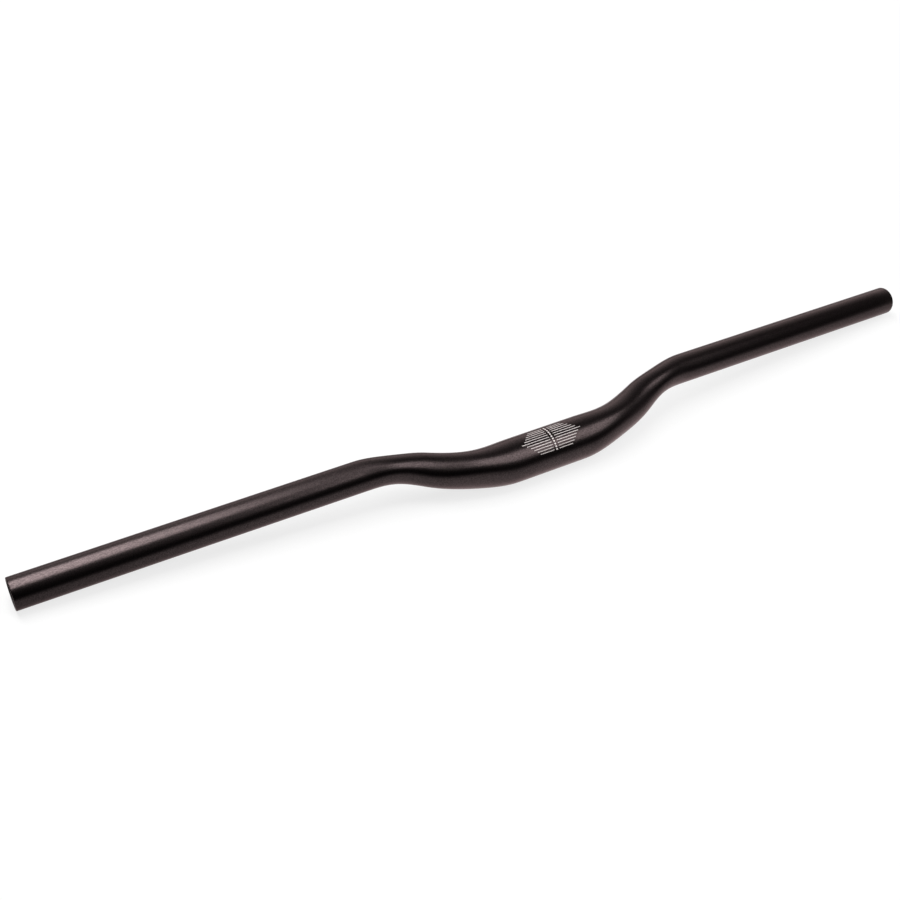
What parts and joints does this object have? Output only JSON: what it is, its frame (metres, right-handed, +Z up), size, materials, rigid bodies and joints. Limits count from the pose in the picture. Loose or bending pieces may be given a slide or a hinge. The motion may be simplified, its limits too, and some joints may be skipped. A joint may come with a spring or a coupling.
{
  "type": "riser handlebar",
  "caption": "Riser handlebar: one swaged aluminium tube, wide at the stem clamp, bent up and slightly back on each side to slim, straight grip ends.",
  "frame": {"origin": "middle of the stem clamp's length, on the tube's axis", "axes": "+X along the clamp's axis, towards the rider's left; +Z up, as the bar lies on its back on the clamp and both tips, with its front side up; +Y along the ground, the way the grips are set off from the clamp by rise and sweep. Clamped for riding, it is turned about +X by 60.64 degrees, which points the rise up"},
  "size_m": [0.7518, 0.0646, 0.0379],
  "materials": {
    "anodised_tube": "satin, bead-blasted and black anodised"
  },
  "bodies": {
    "root": {"handlebar": "anodised_tube"}
  },
  "joints": []
}
